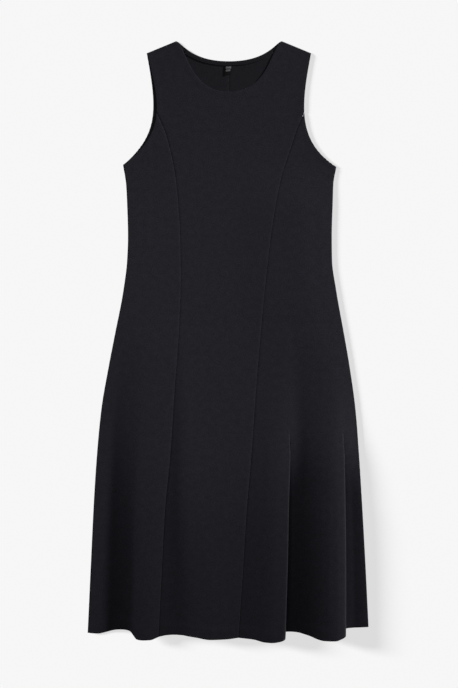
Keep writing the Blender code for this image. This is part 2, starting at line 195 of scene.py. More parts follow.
# Folds at the hem of each front panel, from its -X edge to its +X edge: share of the panel's width, lift of
# the cloth, drop of the hem
FOLDS_SIDE_RIGHT = (
    (0.00, 0.0022, 1.1290),
    (0.08, 0.0012, 1.1305),
    (0.16, 0.0004, 1.1308),
    (0.22, 0.0000, 1.1292),
    (0.26, 0.0002, 1.1278),
    (0.30, 0.0012, 1.1262),
    (0.36, 0.0038, 1.1238),
    (0.42, 0.0066, 1.1222),
    (0.50, 0.0101, 1.1216),
    (0.58, 0.0133, 1.1228),
    (0.62, 0.0146, 1.1265),
    (0.64, 0.0150, 1.1305),
    (0.70, 0.0153, 1.1400),
    (0.78, 0.0154, 1.1416),
    (0.88, 0.0149, 1.1412),
    (1.00, 0.0135, 1.1350),
)
FOLDS_CENTRE = (
    (0.00, 0.0135, 1.1350),
    (0.10, 0.0148, 1.1316),
    (0.20, 0.0165, 1.1304),
    (0.30, 0.0184, 1.1311),
    (0.38, 0.0194, 1.1333),
    (0.47, 0.0197, 1.1355),
    (0.65, 0.0194, 1.1400),
    (0.85, 0.0184, 1.1390),
    (1.00, 0.0178, 1.1360),
)
FOLDS_SIDE_LEFT = (
    (0.00, 0.0178, 1.1360),
    (0.12, 0.0212, 1.1390),
    (0.20, 0.0232, 1.1440),
    (0.26, 0.0240, 1.1450),
    (0.317, 0.0237, 1.1430),
    (0.340, 0.0232, 1.1402),
    (0.344, 0.0228, 1.1394),
    (0.3485, 0.0160, 1.1350),
    (0.355, 0.0030, 1.1290),
    (0.361, 0.0010, 1.1280),
    (0.385, 0.0024, 1.1270),
    (0.42, 0.0060, 1.1266),
    (0.46, 0.0102, 1.1272),
    (0.50, 0.0143, 1.1295),
    (0.55, 0.0187, 1.1330),
    (0.60, 0.0222, 1.1380),
    (0.65, 0.0247, 1.1410),
    (0.70, 0.0260, 1.1415),
    (0.74, 0.0258, 1.1415),
    (0.782, 0.0238, 1.1380),
    (0.800, 0.0216, 1.1350),
    (0.805, 0.0198, 1.1340),
    (0.817, 0.0050, 1.1250),
    (0.829, 0.0012, 1.1215),
    (0.88, 0.0006, 1.1197),
    (0.93, 0.0021, 1.1190),
    (0.97, 0.0031, 1.1184),
    (1.00, 0.0034, 1.1180),
)
# The same folds higher up the skirt, before they sharpen: share, lift
FOLDS_SIDE_LEFT_HIGH = (
    (0.00, 0.0178),
    (0.10, 0.0214),
    (0.18, 0.0236),
    (0.26, 0.0240),
    (0.33, 0.0220),
    (0.38, 0.0188),
    (0.42, 0.0164),
    (0.46, 0.0178),
    (0.50, 0.0222),
    (0.57, 0.0280),
    (0.64, 0.0318),
    (0.70, 0.0328),
    (0.76, 0.0306),
    (0.82, 0.0234),
    (0.88, 0.0155),
    (0.95, 0.0068),
    (1.00, 0.0032),
)
# How far the cloth rolls over sideways at the sharp edges of those folds: share of the width, shift in X.
# ROLL_GROWTH is how much of the roll there is at each drop, and LIPS_SIDE_LEFT the shares at which it turns.
ROLL_SIDE_LEFT = (
    (0.000, 0.0),
    (0.300, 0.0),
    (0.344, 0.0036),
    (0.359, -0.0040),
    (0.420, 0.0),
    (0.770, 0.0),
    (0.803, 0.0030),
    (0.824, -0.0036),
    (0.880, 0.0),
    (1.000, 0.0),
)
ROLL_GROWTH = ((0.735, 0.0), (0.800, 1.0), (0.920, 1.0), (1.145, 0.6))
LIPS_SIDE_LEFT = (0.344, 0.803)
NO_ROLL = ((0.0, 0.0), (1.0, 0.0))

# Low folds at the hem of each back panel, from the centre back seam to the side seam: share of the panel's
# width, lift of the cloth, drop of the hem
FOLDS_BACK_RIGHT = (
    (0.00, 0.0000, BACK_HEM_DROP),
    (0.27, 0.0000, BACK_HEM_DROP),
    (0.35, 0.0030, BACK_HEM_DROP),
    (0.42, 0.0046, BACK_HEM_DROP),
    (0.50, 0.0040, BACK_HEM_DROP),
    (0.60, 0.0014, BACK_HEM_DROP),
    (0.70, 0.0000, BACK_HEM_DROP),
    (0.93, 0.0000, BACK_HEM_DROP),
    (1.00, 0.0018, BACK_HEM_DROP),
)
FOLDS_BACK_LEFT = (
    (0.00, 0.0000, BACK_HEM_DROP),
    (0.15, 0.0000, BACK_HEM_DROP),
    (0.23, 0.0044, BACK_HEM_DROP),
    (0.29, 0.0070, BACK_HEM_DROP),
    (0.33, 0.0044, BACK_HEM_DROP),
    (0.37, 0.0000, BACK_HEM_DROP),
    (0.54, 0.0000, BACK_HEM_DROP),
    (0.62, 0.0040, BACK_HEM_DROP),
    (0.68, 0.0060, BACK_HEM_DROP),
    (0.74, 0.0036, BACK_HEM_DROP),
    (0.79, 0.0000, BACK_HEM_DROP),
    (0.90, 0.0000, BACK_HEM_DROP),
    (1.00, 0.0024, BACK_HEM_DROP),
)

# Binding inside the back neck: its width, and how far it runs to each side along the neck curve, from 0 at
# the centre to 1 at the shoulder. Its width and its thickness waver a little along it. BINDING_UNDERSIDE is
# how far its underside's knit lies from its upper side's, in cloth coordinates. Its section goes round a
# folded band: share of the width, height in the thickness.
BINDING_WIDTH = 0.0086
BINDING_REACH = 0.575
BINDING_POINTS = 181
BINDING_WIDTH_CHANGE = 0.03
BINDING_WAVE_PHASE = 1.7
BINDING_PUFF = 0.05
BINDING_PUFF_LENGTH = 0.0019
BINDING_UNDERSIDE = 0.012
BINDING_SECTION = (
    (0.000, 0.30),
    (0.012, 0.72),
    (0.045, 0.96),
    (0.160, 1.08),
    (0.400, 1.14),
    (0.640, 1.10),
    (0.760, 0.98),
    (0.800, 0.86),
    (0.840, 0.98),
    (0.920, 1.06),
    (0.965, 0.94),
    (0.990, 0.68),
    (1.000, 0.30),
    (0.980, 0.00),
    (0.500, 0.00),
    (0.020, 0.00),
)

# Loop label below the binding: where it hangs, its size, how it hangs askew, and the gap in its fold
LABEL_X = -0.0008
LABEL_TOP = LENGTH / 2.0 - BACK_NECK_DEPTH - BINDING_WIDTH - GAP
LABEL_WIDTH = 0.0138
LABEL_LENGTH = 0.0168
LABEL_TILT = 0.05
LABEL_SLANT = 0.38
LABEL_STEPS = 14
LABEL_TURN_STEPS = 8
LABEL_GAP = 0.0006
LABEL_BELLY = 0.3
LABEL_FACE_HEIGHT = 0.0008

# Bars woven into the label: their middle, as places across and down, and their size
LABEL_BARS = (
    ((0.0002, 0.0034), (0.0102, 0.0040)),
    ((-0.0004, 0.0088), (0.0086, 0.0036)),
)
WEFT_PITCH = 0.00034
WARP_PITCH = 0.00028
THREAD_TEXTURE = 0.3

# The knit's stitches: how far they slant, in courses to a wale's width, and how much they change in height
# along the wale
STITCH_SLANT = 1.3
STITCH_BOW = 0.35

# How the cloth ends at each kind of edge: radius of its rim, height of its rim in its thickness
FRONT_RIMS = {
    "neck": (0.0005, 0.35),
    "armhole": (0.0005, 0.35),
    "shoulder": (0.0018, 0.0),
    "side": (0.0020, 0.0),
    "hem": (0.0010, 0.4),
    "seam_right": (0.0011, 0.15),
    "seam_left": (0.0011, 0.15),
}
BACK_RIMS = {
    "neck": (0.0010, 0.5),
    "armhole": (0.0010, 0.5),
    "shoulder": (0.0018, 1.0),
    "side": (0.0020, 1.0),
    "centre": (0.0007, 0.4),
    "hem": (0.0010, 0.5),
}

# Edges that are turned under: extra height, width. The height fades out between two shares of the width.
TURNED_EDGE = (0.00025, 0.009)
TURNED_HEM = (0.0003, 0.022)
TURNED_BACK_HEM = (0.0001, 0.022)
TURNED_FADE = (0.75, 1.15)

# Ditches along the seams. The princess seams' depth changes down the skirt: drops between which it changes,
# change. It also wavers along the seam, by WAVES: strength, length, share of the phase; their sum is at most
# WAVE_RANGE.
CENTRE_BACK_DITCH = (0.00015, 0.005)
PRINCESS_DITCH_DEPTH = 0.00030
PRINCESS_DITCH_WIDTH = 0.0040
PRINCESS_DITCH_CHANGES = (
    (0.45, 0.75, 0.00010),
    (0.84, 1.00, -0.00028),
)
PRINCESS_PHASES = {"seam_right": 10.0, "seam_left": 9.0}
WAVES = (
    (0.16, 0.0061, 1.0),
    (0.14, 0.0137, 2.1),
)
WAVE_RANGE = 0.3

# Distances from an edge or a crease at which the cloth is cut finer, so that rims and folds are round. A ring
# is kept where it lies at this share of its distance from the edge, which drops it at corners. The grid and
# the rows beside creases keep off the rest by shares of the mesh's spacing.
RIM_STEPS = (0.00008, 0.0003, 0.0006, 0.0011, 0.0018, 0.0028, 0.0042, 0.0060)
CREASE_STEPS = (-0.0036, -0.0022, -0.0012, -0.0004, 0.0004, 0.0012, 0.0022, 0.0036)
RING_KEPT = 0.97
GRID_CLEAR_OF_RIM = 0.6
CLEAR_OF_CREASE = 0.4

# Stage: floor, lights and camera
FLOOR_SIZE = 60.0
FLOOR_SINK = 0.0002
KEY_PLACE = (4.60, 3.25, 1.58)
KEY_AIM = (0.0, 0.12, 0.0)
KEY_SIZE = 0.9
TOP_PLACE = (-0.14, 0.12, 0.8)
TOP_SIZE = 0.4
WASH_PLACE = (-3.0, 0.8, 0.8)
WASH_DIRECTION = (0.966, -0.259, -0.287)
WASH_ANGLE = math.radians(11.0)
CAMERA_CENTRE = (0.0002, -0.0057)


class DressCloth(bpy.types.PropertyGroup):
    """Sizes and colours of the knit."""

    spacing: FloatProperty(
        name="Mesh spacing", description="Distance between points of the cloth", default=0.0034, unit="LENGTH"
    )
    thickness: FloatProperty(
        name="Thickness", description="Thickness of one layer of knit", default=CLOTH, unit="LENGTH"
    )
    wale: FloatProperty(
        name="Wale", description="Width of one column of stitches", default=0.0010, unit="LENGTH"
    )
    course: FloatProperty(
        name="Course", description="Height of one row of stitches", default=0.0008, unit="LENGTH"
    )
    face_colour: FloatVectorProperty(
        name="Face colour", description="Colour of the knit's outside", default=(0.0106, 0.0098, 0.0146),
        subtype="COLOR", min=0.0, max=1.0,
    )
    # The inside's colour is about half the face colour. It is partly the knit's own inside tone and partly
    # painted shade, for the back lying lower in the front's shade. The binding uses it too.
    inside_colour_with_shade: FloatVectorProperty(
        name="Inside colour with painted shade", description="Colour of the knit's inside, darkened by painted shade", default=(0.0054, 0.0049, 0.0076),
        subtype="COLOR", min=0.0, max=1.0,
    )
    ribbon_colour: FloatVectorProperty(
        name="Label colour", description="Colour of the label's ribbon", default=(0.0014, 0.0014, 0.0019),
        subtype="COLOR", min=0.0, max=1.0,
    )
    thread_colour: FloatVectorProperty(
        name="Thread colour", description="Colour of the bars woven into the label",
        default=(0.120, 0.120, 0.128), subtype="COLOR", min=0.0, max=1.0,
    )
    ribbon_thickness: FloatProperty(
        name="Ribbon thickness", description="Thickness of the label's ribbon", default=0.0003, unit="LENGTH"
    )
    binding_thickness: FloatProperty(
        name="Binding thickness", description="Thickness of the folded binding", default=0.0009, unit="LENGTH"
    )
    sheen: FloatProperty(
        name="Sheen", description="Strength of the nap's sheen",
        default=0.12, min=0.0, max=1.0, subtype="FACTOR",
    )


class DressStage(bpy.types.PropertyGroup):
    """Sizes and strengths of the floor, the lights and the camera."""

    camera_height: FloatProperty(
        name="Camera height", description="Height of the camera above the floor", default=3.2, unit="LENGTH"
    )
    view_length: FloatProperty(
        name="View length", description="Length of floor that the picture shows",
        default=1.3141, unit="LENGTH",
    )
    floor_tone: FloatProperty(
        name="Floor tone", description="Brightness of the floor",
        default=0.70, min=0.0, max=1.0, subtype="FACTOR",
    )
    key_power: FloatProperty(
        name="Key light", description="Power of the main soft light",
        default=455.0, min=0.0, unit="POWER",
    )
    top_power: FloatProperty(
        name="Top light", description="Power of the soft light above the dress",
        default=2.7, min=0.0, unit="POWER",
    )
    wash: FloatProperty(
        name="Floor wash", description="Strength of the low light that washes over the floor",
        default=9.6, min=0.0,
    )
    ambient: FloatProperty(
        name="Ambient light", description="Strength of the light from all round", default=0.06, min=0.0
    )


def smooth(table, at, column=1):
    """Reads a column of a table at values of its first column, on a cubic that never overshoots."""
    knots, values = np.array([(row[0], row[column]) for row in table]).T
    steps = np.diff(knots)
    slopes = np.diff(values) / steps
    tangents = np.zeros_like(knots)
    tangents[0], tangents[-1] = slopes[0], slopes[-1]
    before = 2.0 * steps[1:] + steps[:-1]
    after = steps[1:] + 2.0 * steps[:-1]
    same_way = slopes[:-1] * slopes[1:] > 0.0
    first, second = (np.where(same_way, slope, 1.0) for slope in (slopes[:-1], slopes[1:]))
    tangents[1:-1] = np.where(same_way, (before + after) / (before / first + after / second), 0.0)
    at = np.clip(at, knots[0], knots[-1])
    i = np.clip(np.searchsorted(knots, at) - 1, 0, len(steps) - 1)
    t = (at - knots[i]) / steps[i]
    ends = (2.0 * t - 3.0) * t * t
    bend = steps[i] * t * (1.0 - t) * ((1.0 - t) * tangents[i] - t * tangents[i + 1])
    return (1.0 + ends) * values[i] - ends * values[i + 1] + bend


def smoothstep(low, high, at):
    """A smooth rise from 0 at low to 1 at high."""
    t = np.clip((at - low) / (high - low), 0.0, 1.0)
    return t * t * (3.0 - 2.0 * t)


def bezier(handles, t):
    """Points at t, from 0 to 1, of the cubic curve with four handles."""
    a, b, c, d = (np.array(handle) for handle in handles)
    t = np.asarray(t)[..., None]
    s = 1.0 - t
    return s**3 * a + 3.0 * s * s * t * b + 3.0 * s * t * t * c + t**3 * d


def armhole(handles, drop, scoop):
    """X of an armhole's edge at a drop, scooped deeper towards the middle of the dress."""
    start, upper, lower, end = handles
    inward = -scoop if end[0] > 0.0 else scoop
    handles = start, (upper[0] + inward, upper[1]), (lower[0] + inward, lower[1]), end
    points = bezier(handles, np.linspace(0, 1, 201))
    return np.interp(drop, points[:, 1], points[:, 0])


def right_outline(drop, scoop=0.0):
    """X of the dress's edge on the wearer's right at a drop: the armhole, then the side seam."""
    seam = smooth(((UNDERARM_RIGHT[1], UNDERARM_RIGHT[0]), *SIDE_SEAMS), drop)
    return np.where(drop < UNDERARM_RIGHT[1], armhole(ARMHOLE_RIGHT, drop, scoop), seam)


def left_outline(drop, scoop=0.0):
    """X of the dress's edge on the wearer's left at a drop: the armhole, then the side seam."""
    seam = smooth(((UNDERARM_LEFT[1], 0.0, UNDERARM_LEFT[0]), *SIDE_SEAMS), drop, column=2)
    return np.where(drop < UNDERARM_LEFT[1], armhole(ARMHOLE_LEFT, drop, scoop), seam)


def front_right_outline(drop):
    """The front's edge on the wearer's right, whose armhole is scooped deeper than the back's."""
    return right_outline(drop, SCOOP_FRONT_RIGHT)


def back_left_outline(drop):
    """The back's edge on the wearer's left, whose armhole is scooped deeper than the front's."""
    return left_outline(drop, SCOOP_BACK_LEFT)


def right_princess(drop):
    """X of the wearer's right princess seam, which starts at the front's right armhole."""
    top = (SEAM_TOP, float(front_right_outline(SEAM_TOP)))
    return smooth((top, *PRINCESS_SEAMS), drop)


def left_princess(drop):
    """X of the wearer's left princess seam, which starts at the front's left armhole."""
    top = (SEAM_TOP, 0.0, float(left_outline(SEAM_TOP)))
    return smooth((top, *PRINCESS_SEAMS), drop, column=2)


def fold_growth(drop):
    """Depth of the skirt's folds at a drop, from 0 at their tops to 1 at the hem."""
    return smooth(FOLD_GROWTH, drop)


def fold_lift(folds, share, drop):
    """Lift of the cloth by a panel's folds, low and high on the skirt: rounder and wider higher up."""
    low, high = folds
    spread = smooth(FOLD_SPREAD, drop)
    sharp = smoothstep(*FOLDS_SHARPEN, drop)
    lift = 0.0
    for step in np.linspace(-1.0, 1.0, SPREAD_SAMPLES):
        near = np.clip(share + step * np.minimum(spread, LIP_SPREAD), 0.0, 1.0)
        wide = np.clip(share + step * spread, 0.0, 1.0)
        here = sharp * smooth(low, near) + (1.0 - sharp) * smooth(high, wide)
        lift = lift + (1.0 + math.cos(math.pi * step)) / (SPREAD_SAMPLES - 1) * here
    return fold_growth(drop) * lift


def side_window(drop):
    """How much of SIDE_RISE there is at a drop: all of it at the waist, none at the armholes or the hem."""
    return smoothstep(*SIDE_RISE_STARTS, drop) * (1.0 - smoothstep(*SIDE_RISE_ENDS, drop))


def front_height(x, drop, folds, share):
    """Height of the front cloth's lower face above the floor."""
    rise = side_window(drop) * smooth(SIDE_RISE, left_outline(drop) - x)
    return FRONT_LAYER + rise + fold_lift(folds, share, drop)


def back_height(x, drop, folds, share):
    """Height of the back cloth's lower face above the floor; its side edges rise with the front's."""
    inside = np.minimum(left_outline(drop) - x, x - right_outline(drop))
    edge = BACK_EDGE_RISE * side_window(drop) * (1.0 - smoothstep(0.0, BACK_EDGE_WIDTH, inside))
    return edge + fold_growth(drop) * smooth(folds[0], share)


class Panel:
    """A panel between two edges: an x at each drop for its -X and +X edge, its folds and its height."""

    COLUMNS = 700
    ROWS = 240

    def __init__(
        self, right_edge, left_edge, folds, height, top,
        high=None, lean=0.0, fan=0.0, roll=NO_ROLL, lips=(), mirrored=False,
    ):
        self.right_edge = right_edge
        self.left_edge = left_edge
        self.folds = folds, high or folds
        self.height = height
        self.lean = lean
        self.fan = fan
        self.roll = roll
        self.lips = lips
        self.mirrored = mirrored
        self.drops = np.linspace(top, LENGTH + 0.001, self.ROWS)
        self.shares = np.linspace(0.0, 1.0, self.COLUMNS)
        share, drop = np.meshgrid(self.shares, self.drops)
        x, _, z = self.form(share, drop)
        run = np.hypot(np.diff(x), np.diff(z)).cumsum(1)
        run = np.hstack((np.zeros((self.ROWS, 1)), run))
        middle = self.COLUMNS // 2
        self.across = run - run[:, middle : middle + 1] + x[:, middle : middle + 1]

    def fold_share(self, share):
        return 1.0 - share if self.mirrored else share

    def hem(self, share):
        return smooth(self.folds[0], self.fold_share(share), column=2)

    def form(self, share, drop):
        """The place of the panel's lower face at a share of its width and a drop."""
        rise = np.minimum(LENGTH - drop, LENGTH - FOLD_TOP)
        if self.lean > 0.0:
            across = share - self.lean * rise * 4.0 * share * (1.0 - share)
        else:
            lean = self.lean * rise * FOLD_SHAPE_LEFT
            across = share - lean * share**2 * (1.0 - share) * (share - FOLD_STILL_LEFT)
        right, left = self.right_edge(drop), self.left_edge(drop)
        x = right + across * (left - right)
        along_folds = 1.0 - (1.0 - share) ** (1.0 + self.fan * np.maximum(rise, 0.0) ** 2)
        height = self.height(x, drop, self.folds, self.fold_share(along_folds))
        roll = smooth(ROLL_GROWTH, drop) * smooth(self.roll, share)
        return x + roll, LENGTH / 2.0 - drop, height

    def share_of(self, x, drop):
        """How far across the panel a point lies, from 0 at its -X edge to 1 at its +X edge."""
        right, left = self.right_edge(drop), self.left_edge(drop)
        return np.clip((x - right) / (left - right), 0.0, 1.0)

    def flat(self, share, drop):
        """Cloth coordinates of points on the panel: across along its folds, and up."""
        row = (drop - self.drops[0]) / (self.drops[1] - self.drops[0])
        row = np.clip(row, 0.0, self.ROWS - 1.001)
        i, part = row.astype(int), row % 1.0
        column = np.clip(share * (self.COLUMNS - 1), 0.0, self.COLUMNS - 1.001)
        j, side = column.astype(int), column % 1.0
        upper = self.across[i, j] * (1.0 - side) + self.across[i, j + 1] * side
        lower = self.across[i + 1, j] * (1.0 - side) + self.across[i + 1, j + 1] * side
        return np.stack((upper * (1.0 - part) + lower * part, -drop), -1)

    def laid(self, flat):
        """Share and drop of points in cloth coordinates."""
        drop = -flat[:, 1]
        row = np.clip((drop - self.drops[0]) / (self.drops[1] - self.drops[0]), 0.0, self.ROWS - 1.001)
        i, part = row.astype(int), row % 1.0
        share = np.zeros(len(flat))
        for k in np.unique(i):
            here = i == k
            upper = np.interp(flat[here, 0], self.across[k], self.shares)
            lower = np.interp(flat[here, 0], self.across[k + 1], self.shares)
            share[here] = upper * (1.0 - part[here]) + lower * part[here]
        return share, drop


class Edge:
    """One run of a panel's outline, in share and drop, and how the cloth ends there."""

    def __init__(self, kind, shares, drops):
        self.kind = kind
        self.shares, self.drops = np.broadcast_arrays(np.asarray(shares, float), np.asarray(drops, float))


def evenly(points, spacing):
    """Points at even distances along a line, its two ends included."""
    lengths = np.concatenate(([0.0], np.hypot(*np.diff(points, axis=0).T).cumsum()))
    count = max(2, round(lengths[-1] / spacing) + 1)
    at = np.linspace(0.0, lengths[-1], count)
    return np.stack([np.interp(at, lengths, column) for column in points.T], -1)


def distance(points, line):
    """Distance of each point from a line of points, up to about 40 mm, beyond which it is only large."""
    reach = 0.04
    batch = 4000
    found = np.full(len(points), 1.0)
    low, high = line.min(0) - reach, line.max(0) + reach
    near = np.flatnonzero(((points > low) & (points < high)).all(1))
    starts, runs = line[:-1], np.diff(line, axis=0)
    squares = (runs**2).sum(1)
    for part in np.array_split(near, max(1, len(near) // batch)):
        ahead = points[part, None] - starts
        along = np.clip((ahead * runs).sum(2) / squares, 0.0, 1.0)
        found[part] = np.hypot(*(ahead - along[..., None] * runs).transpose(2, 0, 1)).min(1)
    return found


def fill(outline, creases, spacing):
    """Triangles over a closed outline: rings along it, rows beside each crease and an even grid inside."""
    closed = np.vstack((outline, outline[:1]))
    ahead = np.roll(outline, -1, 0) - np.roll(outline, 1, 0)
    inward = np.stack((-ahead[:, 1], ahead[:, 0]), -1) / np.hypot(*ahead.T)[:, None]
    area = 0.5 * np.sum(closed[:-1, 0] * closed[1:, 1] - closed[1:, 0] * closed[:-1, 1])
    if area < 0.0:
        inward = -inward
    rings = []
    for step in RIM_STEPS:
        ring = outline + step * inward
        rings.append(ring[distance(ring, closed) > RING_KEPT * step])
    low, high = outline.min(0), outline.max(0)
    grid = np.stack(np.meshgrid(*(np.arange(a, b, spacing) for a, b in zip(low, high))), -1).reshape(-1, 2)
    inside = np.zeros(len(grid), bool)
    for (x0, y0), (x1, y1) in zip(closed, closed[1:]):
        if y0 != y1:
            crosses = (y0 > grid[:, 1]) != (y1 > grid[:, 1])
            inside ^= crosses & (grid[:, 0] < (x1 - x0) * (grid[:, 1] - y0) / (y1 - y0) + x0)
    grid = grid[inside]
    grid = grid[distance(grid, closed) > RIM_STEPS[-1] + GRID_CLEAR_OF_RIM * spacing]
    for crease in creases:
        grid = grid[distance(grid, crease) > CREASE_STEPS[-1] + CLEAR_OF_CREASE * spacing]
        for step in CREASE_STEPS:
            row = crease + (step, 0.0)
            rings.append(row[distance(row, closed) > RIM_STEPS[-1] + CLEAR_OF_CREASE * spacing])
    points = np.vstack((outline, *rings, grid))
    loop = list(range(len(outline)))
    verts, _, faces, *_ = delaunay_2d_cdt([Vector(p) for p in points], [], [loop], 1, 1e-7)
    return np.array(verts), faces


def gentle_wave(along, phase):
    """An uneven factor around 1 that changes slowly along a seam."""
    factor = 1.0
    for strength, length, turn in WAVES:
        factor = factor + strength * np.sin(along / length + turn * phase)
    return factor


def cut_lines(panel, edges, spacing):
    """The panel's cut edges in cloth coordinates, as (kind, line) pairs, in order round the panel."""
    return [(edge.kind, evenly(panel.flat(edge.shares, edge.drops), spacing)) for edge in edges]


def rim_shape(away, rims):
    """Roundness from 0 at the cut edge to 1 inside it, and the height of the rim in the thickness."""
    round_off = 1.0
    weights, seats = 0.0, 0.0
    for kind, (radius, seat) in rims.items():
        if kind not in away:
            continue
        inside = np.clip(away[kind] / radius, 0.0, 1.0)
        round_off = np.minimum(round_off, np.sqrt(1.0 - (1.0 - inside) ** 2))
        weight = 1.0 / (away[kind] + 1e-6) ** 2
        weights += weight
        seats += weight * seat
    return round_off, seats / weights


def joined_faces(name, place, faces):
    """Faces of a sheet, with triangles joined to quads where they can be, and its points' normals."""
    layer = bpy.data.meshes.new(name)
    layer.from_pydata(place.tolist(), [], faces)
    sheet = bmesh.new()
    sheet.from_mesh(layer)
    bmesh.ops.join_triangles(
        sheet, faces=sheet.faces,
        angle_face_threshold=math.radians(20), angle_shape_threshold=math.radians(35),
    )
    sheet.to_mesh(layer)
    sheet.free()
    normals = np.array([vert.vector[:] for vert in layer.vertex_normals])
    polygons = [tuple(face.vertices) for face in layer.polygons]
    bpy.data.meshes.remove(layer)
    return polygons, normals


def mesh_on_cloth(name, points, faces, ground):
    """A mesh whose UV map holds each point's place in cloth coordinates."""
    mesh = bpy.data.meshes.new(name)
    mesh.from_pydata(points.tolist(), [], faces)
    layer = mesh.uv_layers.new(name="Cloth")
    corners = np.array([loop.vertex_index for loop in mesh.loops])
    layer.data.foreach_set("uv", ground[corners].astype(np.float32).ravel())
    return mesh


def finished_piece(name, mesh):
    """The mesh as an object in the scene."""
    mesh.validate()
    piece = bpy.data.objects.new(name, mesh)
    bpy.context.scene.collection.objects.link(piece)
    return piece


def cloth_piece(name, panel, edges, rims, relief, cloth, material):
    """Cuts a panel flat, lays it on its form and closes it to one shell with rounded edges.

    relief gives the extra height of the upper side from the distances to the edges and the drop. The
    flat pattern's size and area are given back with the piece.
    """
    lines = cut_lines(panel, edges, cloth.spacing)
    outline = np.vstack([line[:-1] for _, line in lines])
    lip_drops = np.arange(ROLL_GROWTH[0][0], LENGTH, cloth.spacing)
    creases = [panel.flat(lip + 0.0 * lip_drops, lip_drops) for lip in panel.lips]
    flat, faces = fill(outline, creases, cloth.spacing)
    away = {}
    for kind, line in lines:
        found = distance(flat, line)
        away[kind] = np.minimum(away[kind], found) if kind in away else found
    share, drop = panel.laid(flat)
    place = np.stack(panel.form(share, drop), -1)
    polygons, normals = joined_faces(name, place, faces)

    round_off, seat = rim_shape(away, rims)
    thickness = cloth.thickness
    upper = thickness * (seat + (1.0 - seat) * round_off)
    lower = thickness * seat * (1.0 - round_off)
    upper += relief(away, drop) * round_off
    rim = np.minimum.reduce(list(away.values())) < 0.2 * RIM_STEPS[0]
    top = place + upper[:, None] * normals
    bottom = place + lower[:, None] * normals
    below = np.arange(len(place))
    below[~rim] = len(place) + np.arange(np.count_nonzero(~rim))
    points = np.vstack((top, bottom[~rim]))
    ground = np.vstack((flat, flat[~rim]))
    all_faces = polygons + [tuple(int(below[i]) for i in reversed(face)) for face in polygons]

    mesh = mesh_on_cloth(name, points, all_faces, ground)
    mesh.shade_smooth()
    mesh.materials.append(material)
    piece = finished_piece(name, mesh)
    size = outline.max(0) - outline.min(0)
    following = np.roll(outline, -1, 0)
    area = 0.5 * abs(np.sum(outline[:, 0] * following[:, 1] - following[:, 0] * outline[:, 1]))
    return piece, tuple(size), area


def declare(piece, node):
    """Says which body a panel rides on and which CAD node it replaces."""
    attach(piece, "root")
    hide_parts(node)


def seam_ditch(away, depth, width):
    """Extra height, below 0, of cloth that dips towards a seam."""
    return -depth * (1.0 - smoothstep(0.0, width, away))


def turned_edge(away, height, width):
    """Extra height of an edge whose cloth is turned under over a width."""
    start, end = TURNED_FADE
    return height * (1.0 - smoothstep(start * width, end * width, away))


def front_relief(away, drop):
    """Relief of a front panel: turned edges, and a ditch along each princess seam."""
    height = turned_edge(away.get("neck", 1.0), *TURNED_EDGE)
    height = np.maximum(height, turned_edge(away.get("armhole", 1.0), *TURNED_EDGE))
    height = np.maximum(height, turned_edge(away.get("hem", 1.0), *TURNED_HEM))
    depth = PRINCESS_DITCH_DEPTH
    for start, end, change in PRINCESS_DITCH_CHANGES:
        depth = depth + change * smoothstep(start, end, drop)
    for kind, phase in PRINCESS_PHASES.items():
        if kind in away:
            ditch = seam_ditch(away[kind], depth, PRINCESS_DITCH_WIDTH)
            height = height + ditch * gentle_wave(drop, phase)
    return height


def front_centre_panel():
    """The front's centre panel, with its outline."""

    def right_edge(drop):
        return np.where(drop < SEAM_TOP, front_right_outline(drop), right_princess(drop))

    def left_edge(drop):
        return np.where(drop < SEAM_TOP, left_outline(drop), left_princess(drop))

    panel = Panel(right_edge, left_edge, FOLDS_CENTRE, front_height, 0.0, fan=FOLD_FAN_CENTRE)
    neck = bezier(FRONT_NECK, np.linspace(0.0, 1.0, 80))
    corner = float(panel.share_of(NECK_HALF, 0.0)), float(panel.share_of(-NECK_HALF, 0.0))
    armhole_drops = np.linspace(SHOULDER_DROP, SEAM_TOP, 40)
    across = np.linspace(0.0, 1.0, 300)
    edges = [
        Edge("neck", panel.share_of(neck[:, 0], neck[:, 1]), neck[:, 1]),
        Edge("shoulder", np.linspace(corner[0], 1.0, 20), np.linspace(0.0, SHOULDER_DROP, 20)),
        Edge("armhole", 1.0, armhole_drops),
        Edge("seam_left", 1.0, np.linspace(SEAM_TOP, float(panel.hem(1.0)), 400)),
        Edge("hem", across[::-1], panel.hem(across[::-1])),
        Edge("seam_right", 0.0, np.linspace(float(panel.hem(0.0)), SEAM_TOP, 400)),
        Edge("armhole", 0.0, armhole_drops[::-1]),
        Edge("shoulder", np.linspace(0.0, corner[1], 20), np.linspace(SHOULDER_DROP, 0.0, 20)),
        Edge("neck", panel.share_of(-neck[::-1, 0], neck[::-1, 1]), neck[::-1, 1]),
    ]
    return panel, edges


def lapped(seam, lap):
    """A princess seam moved sideways by a lap, as the side panels' edges are lower down the dress."""
    return lambda drop: seam(drop) + lap * smoothstep(*SEAM_LAP_DROPS, drop)


